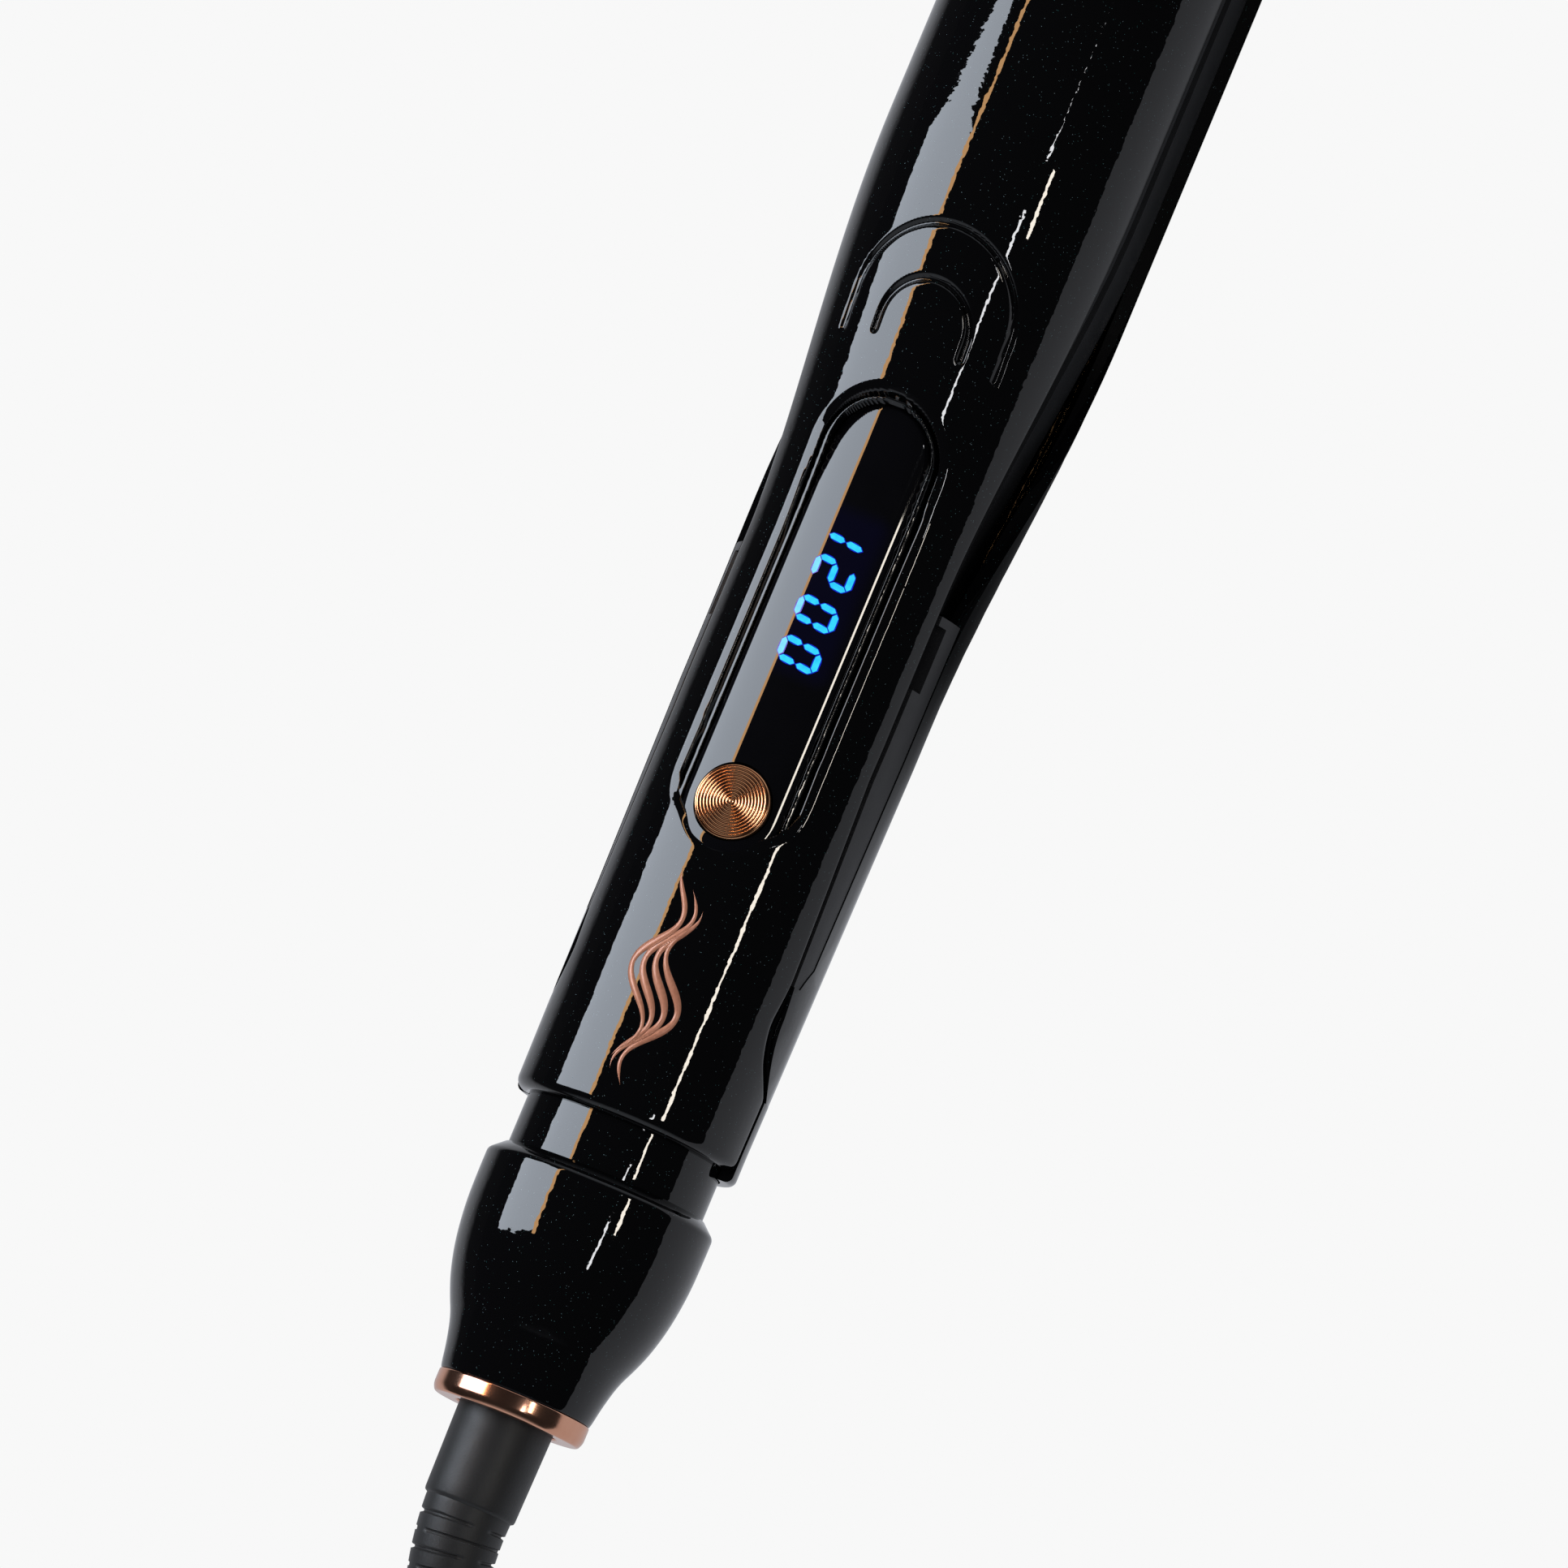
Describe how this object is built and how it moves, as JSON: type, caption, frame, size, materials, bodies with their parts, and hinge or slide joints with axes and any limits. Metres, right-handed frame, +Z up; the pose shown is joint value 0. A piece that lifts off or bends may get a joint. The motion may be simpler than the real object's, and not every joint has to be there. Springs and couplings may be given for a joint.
{
  "type": "hair styling iron",
  "caption": "Slim hair iron with hinged half-round arms, floating heated plates, a display under a long lens, a round power button, a swivel tail and a bundled cord.",
  "frame": {"origin": "centre of the iron's footprint (without the cord and plug) on the surface it rests on", "axes": "+X along the iron from the swivel tail to the tip; +Z up, the side with the display and the button; +Y across"},
  "size_m": [0.534, 0.054, 0.0478],
  "materials": {
    "shell": "high-gloss black with fine pearl flake",
    "neck": "gloss black",
    "liner": "fine-grained dark grey",
    "lens": "polished smoked acrylic",
    "display": "dark display glass with blue digits",
    "board": "green solder mask",
    "part_black": "plain black moulding",
    "rose_metal": "turned and polished rose-gold anodise",
    "steel": "zinc-plated",
    "spring_steel": "drawn wire",
    "lead_red": "silicone insulation",
    "lead_white": "silicone insulation",
    "plate": "dark ceramic coating",
    "ptc": "film-wrapped extrusion",
    "sensor": "cured resin",
    "silicone": "soft silicone",
    "brass": "bare",
    "soft_black": "fine matte elastomer",
    "cord": "smooth semi-gloss jacket",
    "tie": "woven strap",
    "plug": "fine-textured moulding",
    "blade": "nickel-plated"
  },
  "bodies": {
    "cord_end": {"strain_relief": "soft_black", "swivel_spindle": "part_black", "slip_rings": "brass", "power_cord": "cord", "cord_hank": "cord", "hank_tie": "tie", "plug_lead": "cord", "plug_body": "plug", "plug_blades": "blade"},
    "front_arm": {"front_arm_shell": "shell", "front_arm_liner": "liner", "tail_cover": "shell", "hinge_bracket": "steel", "hinge_pin": "steel", "opening_spring": "spring_steel", "display_lens": "lens", "display_module": "display", "control_board": "board", "button_switch": "part_black", "front_leads": "lead_red", "supply_leads": "lead_white", "front_plate_carrier": "liner", "front_tip_cap": "shell", "front_screws": "steel", "tail_screws": "steel", "neck_sleeve": "neck", "tail_bell": "shell", "trim_ring": "rose_metal", "brush_block": "part_black", "front_float_pads": "silicone"},
    "power_button": {"power_button": "rose_metal"},
    "front_plate": {"front_plate": "plate", "front_ptc_heater": "ptc", "front_thermistor": "sensor"},
    "back_arm": {"back_arm_shell": "shell", "back_arm_liner": "liner", "back_leads": "lead_red", "back_plate_carrier": "liner", "back_tip_cap": "shell", "back_screws": "steel", "back_float_pads": "silicone"},
    "back_plate": {"back_plate": "plate", "back_ptc_heater": "ptc", "back_thermal_fuse": "sensor"}
  },
  "joints": [
    {"name": "cord_swivel", "type": "hinge", "parent": "cord_end", "child": "front_arm", "pos_m": [-0.1297, 0, 0.0235], "axis": [1, 0, 0], "continuous": true},
    {"name": "arm_hinge", "type": "hinge", "parent": "front_arm", "child": "back_arm", "pos_m": [-0.06771, 0, 0.0155], "axis": [0, 1, 0], "range_deg": [0, 14]},
    {"name": "power_press", "type": "slide", "parent": "front_arm", "child": "power_button", "axis": [0, 0, -1], "range_m": [0, 0.0006], "stiffness_N_per_m": 800},
    {"name": "front_plate_float", "type": "slide", "parent": "front_arm", "child": "front_plate", "axis": [0, 0, 1], "range_m": [0, 0.001], "stiffness_N_per_m": 2500, "deforming": ["front_float_pads"]},
    {"name": "back_plate_float", "type": "slide", "parent": "back_arm", "child": "back_plate", "axis": [0, 0, -1], "range_m": [0, 0.001], "stiffness_N_per_m": 2500, "deforming": ["back_float_pads"]}
  ]
}
